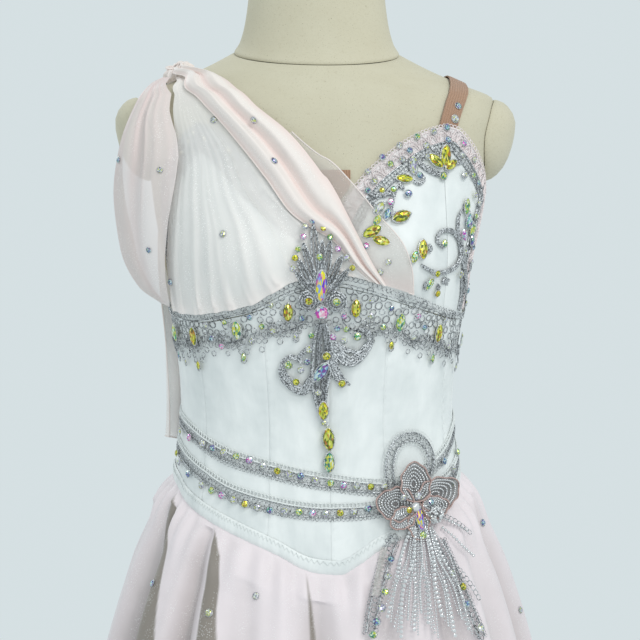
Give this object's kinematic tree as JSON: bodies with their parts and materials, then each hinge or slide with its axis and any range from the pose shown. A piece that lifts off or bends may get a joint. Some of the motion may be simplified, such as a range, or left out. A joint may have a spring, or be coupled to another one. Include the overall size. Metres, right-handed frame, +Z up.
{
  "type": "ballet costume on a limbless dress form with a stand",
  "caption": "Child's ballet costume: boned satin bodice with silver lace and belts of braid, one-shoulder organza drape and gathered organza skirt, on a linen dress form with a stand.",
  "frame": {"origin": "middle of the stand base's underside, on the floor", "axes": "+Z up through the form, -Y towards the front of the costume, +X towards the right of the front view"},
  "size_m": [0.4648, 0.4032, 1.276],
  "materials": {
    "form_linen": "woven linen, flecked",
    "stand_steel": "satin",
    "white_satin": "soft satin sheen",
    "silver_lace": "metallic silver cord with clear stones",
    "blush_lace": "white and blush thread",
    "nude_elastic": "ribbed, matt",
    "blush_organza": "sheer with fine glitter"
  },
  "bodies": {
    "root": {"form_body": "form_linen", "form_neck": "form_linen", "neck_cap": "form_linen", "arm_plate_left": "form_linen", "arm_plate_right": "form_linen", "stand_base": "stand_steel", "stand_pole": "stand_steel", "bodice_centre_back_left": "white_satin", "bodice_side_back_left": "white_satin", "bodice_side_left": "white_satin", "bodice_side_front_left": "white_satin", "bodice_centre_front_left": "white_satin", "bodice_centre_front_right": "white_satin", "bodice_side_front_right": "white_satin", "bodice_side_right": "white_satin", "bodice_side_back_right": "white_satin", "bodice_centre_back_right": "white_satin", "cup_left_inner": "white_satin", "cup_left_outer": "white_satin", "cup_right_inner": "white_satin", "cup_right_outer": "white_satin", "hem_binding_front": "white_satin", "hem_binding_back": "white_satin", "cup_left_braid": "silver_lace", "cup_right_braid": "silver_lace", "upper_belt_front": "silver_lace", "upper_belt_back": "silver_lace", "lower_belt_front": "silver_lace", "lower_belt_back": "silver_lace", "underbust_lace_front": "silver_lace", "underbust_lace_back": "silver_lace", "centre_ornament": "silver_lace", "cup_scroll_upper": "silver_lace", "cup_scroll_lower": "silver_lace", "brooch_flower": "silver_lace", "braid_loop": "silver_lace", "braid_tail_left": "silver_lace", "braid_tail_right": "silver_lace", "brooch_tassel": "silver_lace", "cup_left_lace_edge": "blush_lace", "cup_right_lace_edge": "blush_lace", "neck_bridge": "nude_elastic", "shoulder_strap": "nude_elastic", "drape_cup": "blush_organza", "drape_sash": "blush_organza", "drape_flap": "blush_organza", "drape_back": "blush_organza", "drape_side": "blush_organza", "shoulder_knot": "blush_organza", "skirt_back_left": "blush_organza", "skirt_side_back_left": "blush_organza", "skirt_side_left": "blush_organza", "skirt_front_left": "blush_organza", "skirt_front_right": "blush_organza", "skirt_side_right": "blush_organza", "skirt_side_back_right": "blush_organza", "skirt_back_right": "blush_organza"}
  },
  "joints": []
}
